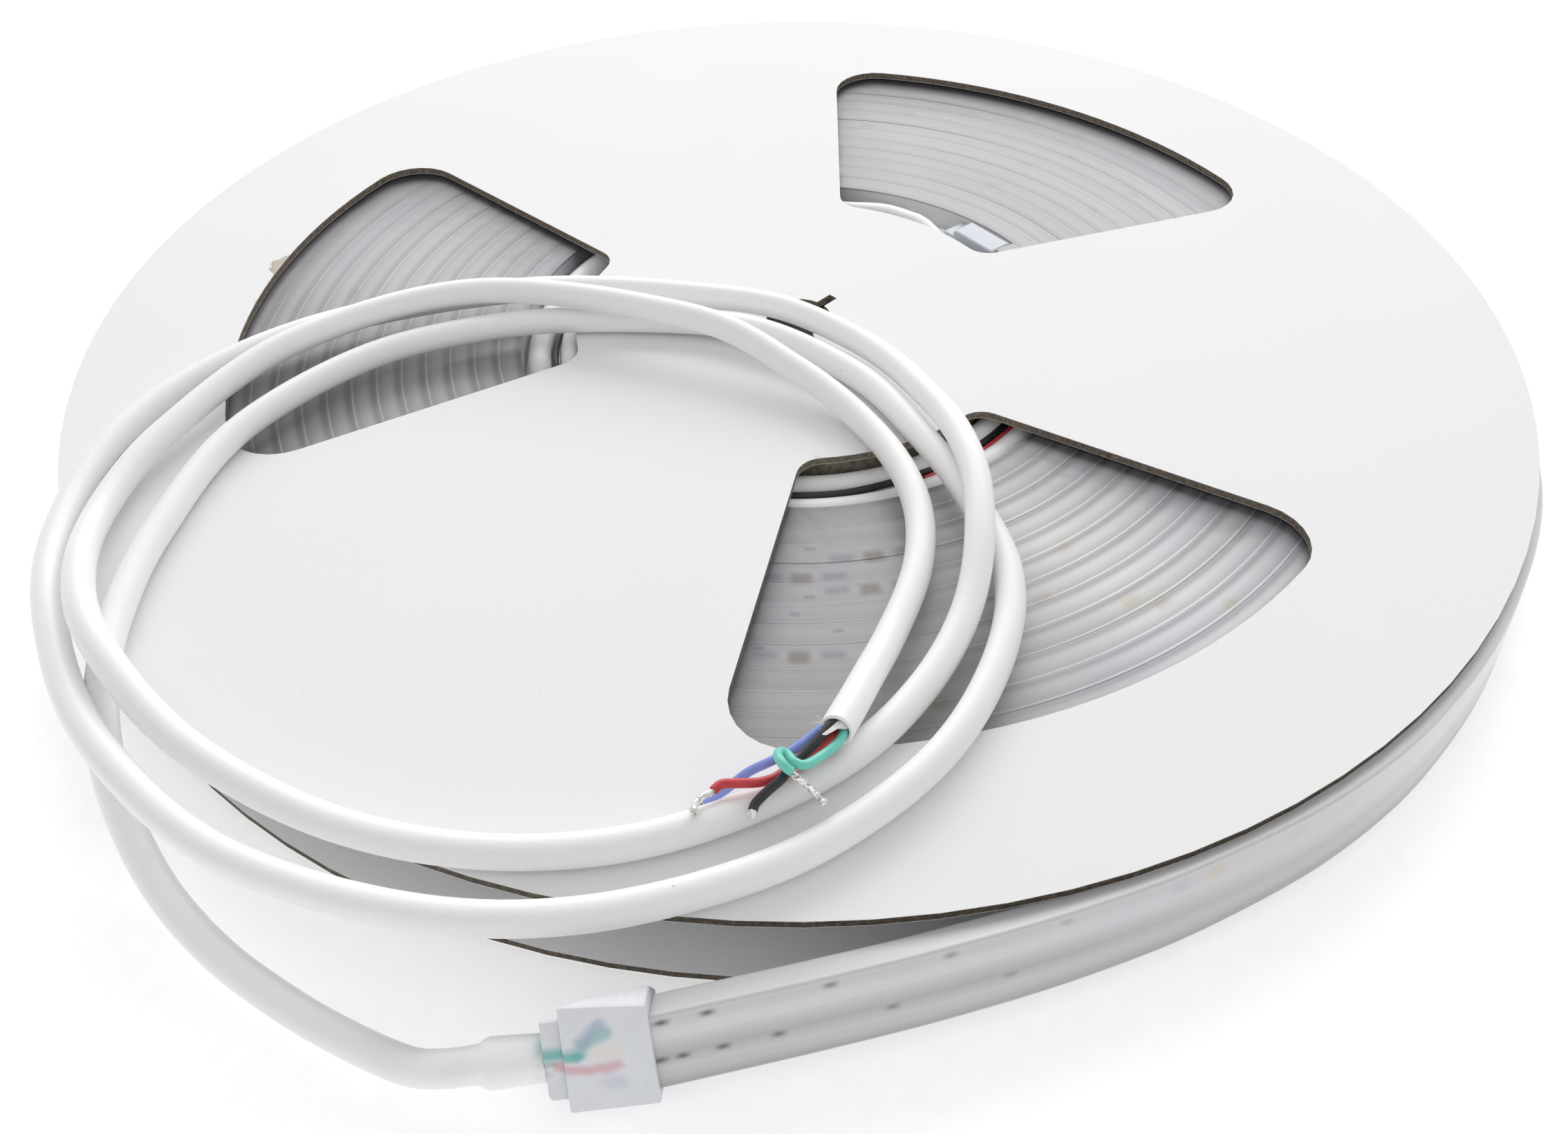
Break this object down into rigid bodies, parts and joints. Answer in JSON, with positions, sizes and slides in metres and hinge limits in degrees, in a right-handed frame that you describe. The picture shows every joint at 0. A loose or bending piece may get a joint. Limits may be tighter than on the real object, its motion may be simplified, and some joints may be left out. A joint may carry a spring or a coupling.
{
  "type": "led strip light",
  "caption": "Silicone sleeved LED strip wound on a flat board reel with window cut-outs, its end cap, boot and white multi-core supply cable looped on top.",
  "frame": {"origin": "centre of the footprint of the reel, strip end and cap (cable left out), on the underside of the bottom flange", "axes": "+Z along the reel's axis, upwards as it lies flat; +Y points away from the strip's capped end; +X to the right seen from the capped end"},
  "size_m": [0.28, 0.299, 0.0267],
  "materials": {
    "white_board": "white coated board, matt, grey-brown cut edge",
    "grey_board": "plain grey board, matt",
    "frosted_silicone": "frosted translucent silicone with a soft sheen",
    "circuit_white": "white solder mask with lamp packages",
    "clear_silicone": "milky clear moulded silicone",
    "white_silicone": "white silicone jacket, satin",
    "tinned_copper": "twisted tinned copper strands",
    "wire_blue": "blue wire insulation",
    "wire_red": "red wire insulation",
    "wire_black": "black wire insulation",
    "wire_green": "sea green wire insulation"
  },
  "bodies": {
    "root": {"bottom_flange": "white_board", "top_flange": "white_board", "hub_core": "grey_board", "strip_sleeve": "frosted_silicone", "led_tape": "circuit_white", "outer_end_cap": "clear_silicone", "inner_end_cap": "clear_silicone", "cable_boot": "white_silicone", "inner_cable": "white_silicone", "inner_wire_black": "wire_black", "inner_wire_red": "wire_red", "supply_cable": "white_silicone", "wire_blue": "wire_blue", "wire_red": "wire_red", "wire_black": "wire_black", "wire_green": "wire_green", "conductor_blue": "tinned_copper", "conductor_red": "tinned_copper", "conductor_black": "tinned_copper", "conductor_green": "tinned_copper"}
  },
  "joints": []
}
